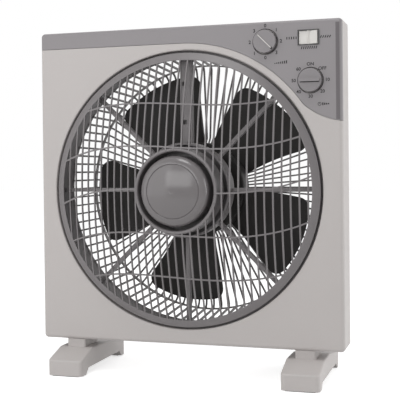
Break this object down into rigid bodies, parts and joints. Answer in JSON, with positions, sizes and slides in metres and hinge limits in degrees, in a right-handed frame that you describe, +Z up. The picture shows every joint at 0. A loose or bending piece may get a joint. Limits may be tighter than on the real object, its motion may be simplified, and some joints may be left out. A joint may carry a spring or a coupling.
{
  "type": "box fan",
  "caption": "Square box fan on two long feet, with a domed louvre grille that turns in a round opening, a fan behind it, a speed knob, a timer knob and a louvre rocker.",
  "frame": {"origin": "on the floor, under the middle of the fan's overall box", "axes": "+Z up; the fan blows towards -Y, which is its front; +X is the right-hand side seen from the front"},
  "size_m": [0.364, 0.154, 0.4068],
  "materials": {
    "body_plastic": "warm light grey, fine satin grain",
    "accent_plastic": "mid grey, satin",
    "louvre_plastic": "grey, satin",
    "cap_plastic": "mid grey, smooth satin",
    "frame_plastic": "grey, satin",
    "wire_plastic": "dark grey, satin",
    "blade_plastic": "near black, semi-gloss",
    "knob_plastic": "light mid grey, satin",
    "switch_frame_plastic": "black, semi-gloss",
    "rocker_plastic": "off-white, semi-gloss",
    "inner_white_plastic": "natural white",
    "capacitor_plastic": "black, matt",
    "pad_rubber": "black rubber",
    "bushing_rubber": "dark grey rubber",
    "zinc_steel": "zinc plated sheet",
    "stack_steel": "stacked laminations",
    "winding_copper": "enamelled copper wire",
    "shaft_steel": "ground steel",
    "bearing_bronze": "sintered bronze",
    "screw_steel": "zinc plated steel"
  },
  "bodies": {
    "housing": {"front_housing": "body_plastic", "rear_housing": "body_plastic", "control_panel": "accent_plastic", "inner_frame": "frame_plastic", "lead_cover": "frame_plastic", "rear_grille": "wire_plastic", "motor_cover": "wire_plastic", "rocker_frame": "switch_frame_plastic", "speed_switch": "inner_white_plastic", "timer_case": "inner_white_plastic", "terminal_block": "inner_white_plastic", "capacitor": "capacitor_plastic", "left_foot": "body_plastic", "right_foot": "body_plastic", "foot_pads": "pad_rubber", "inlet_bushing": "bushing_rubber", "louvre_motor": "zinc_steel", "motor_front_bell": "zinc_steel", "motor_rear_bell": "zinc_steel", "motor_stator": "stack_steel", "motor_windings": "winding_copper", "motor_bearings": "bearing_bronze", "frame_screws": "screw_steel", "louvre_motor_screws": "screw_steel", "motor_screws": "screw_steel", "housing_screws": "screw_steel", "foot_screws": "screw_steel"},
    "fan": {"fan_blade": "blade_plastic", "blade_nut": "blade_plastic", "motor_shaft": "shaft_steel", "motor_rotor": "stack_steel"},
    "louvre": {"louvre_grille": "louvre_plastic", "louvre_cap": "cap_plastic", "louvre_shaft": "inner_white_plastic", "louvre_screw": "screw_steel"},
    "speed_dial": {"speed_knob": "knob_plastic", "speed_shaft": "inner_white_plastic"},
    "timer_dial": {"timer_knob": "knob_plastic", "timer_shaft": "inner_white_plastic"},
    "rocker": {"louvre_rocker": "rocker_plastic"}
  },
  "joints": [
    {"name": "fan_spin", "type": "hinge", "parent": "housing", "child": "fan", "pos_m": [-0.0018, -0.03, 0.2175], "axis": [0, -1, 0], "continuous": true},
    {"name": "louvre_spin", "type": "hinge", "parent": "housing", "child": "louvre", "pos_m": [-0.0018, -0.03, 0.2175], "axis": [0, -1, 0], "continuous": true},
    {"name": "speed_knob_turn", "type": "hinge", "parent": "housing", "child": "speed_dial", "pos_m": [0.0959, -0.03, 0.3841], "axis": [0, -1, 0], "continuous": true},
    {"name": "timer_knob_turn", "type": "hinge", "parent": "housing", "child": "timer_dial", "pos_m": [0.1465, -0.03, 0.3393], "axis": [0, -1, 0], "range_deg": [-225, 90]},
    {"name": "rocker_tilt", "type": "hinge", "parent": "housing", "child": "rocker", "pos_m": [0.1446, -0.029, 0.3868], "axis": [0, 0, 1], "range_deg": [0, 16]}
  ]
}
